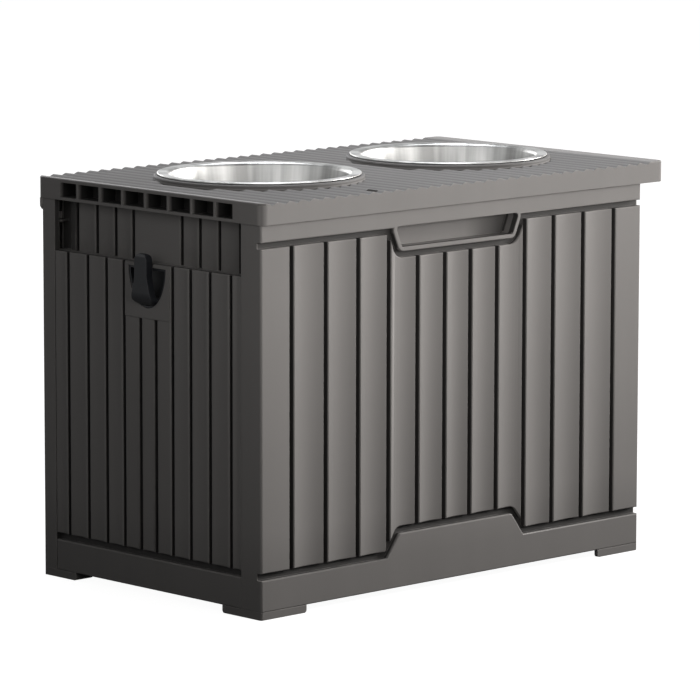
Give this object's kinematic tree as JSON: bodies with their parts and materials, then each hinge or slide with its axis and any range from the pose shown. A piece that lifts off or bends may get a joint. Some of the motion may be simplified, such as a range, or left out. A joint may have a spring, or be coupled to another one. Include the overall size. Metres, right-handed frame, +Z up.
{
  "type": "elevated dog feeder with storage",
  "caption": "Slatted resin storage box with a hinged ridged lid that carries steel feeding bowls, hooks for leads on its ends and a finger grip in front.",
  "frame": {"origin": "centre of the whole feeder's footprint, on the floor", "axes": "+X along the box to the right as seen from the front, +Y to the back, +Z up"},
  "size_m": [0.668, 0.3914, 0.4791],
  "materials": {
    "resin": "fine matte texture, warm grey",
    "hook_plastic": "satin blue-black",
    "bowl_steel": "polished with fine turning marks",
    "fastener_steel": "zinc plated"
  },
  "bodies": {
    "box": {"front_wall": "resin", "back_wall": "resin", "left_wall": "resin", "right_wall": "resin", "floor_panel": "resin", "front_left_foot": "resin", "front_right_foot": "resin", "back_left_foot": "resin", "back_right_foot": "resin", "left_leash_hook": "hook_plastic", "right_leash_hook": "hook_plastic", "left_hinge_pin": "fastener_steel", "right_hinge_pin": "fastener_steel", "front_left_corner_screws": "fastener_steel", "front_right_corner_screws": "fastener_steel", "back_left_corner_screws": "fastener_steel", "back_right_corner_screws": "fastener_steel"},
    "lid": {"lid_shell": "resin", "lid_liner": "resin", "lid_screws": "fastener_steel"},
    "left_bowl": {"left_bowl": "bowl_steel"},
    "right_bowl": {"right_bowl": "bowl_steel"}
  },
  "joints": [
    {"name": "lid_hinge", "type": "hinge", "parent": "box", "child": "lid", "pos_m": [-0.013, 0.19075, 0.4413], "axis": [-1, 0, 0], "range_deg": [0, 100]},
    {"name": "left_bowl_lift", "type": "slide", "parent": "lid", "child": "left_bowl", "axis": [0, 0, 1], "range_m": [0, 0.08]},
    {"name": "right_bowl_lift", "type": "slide", "parent": "lid", "child": "right_bowl", "axis": [0, 0, 1], "range_m": [0, 0.08]}
  ]
}
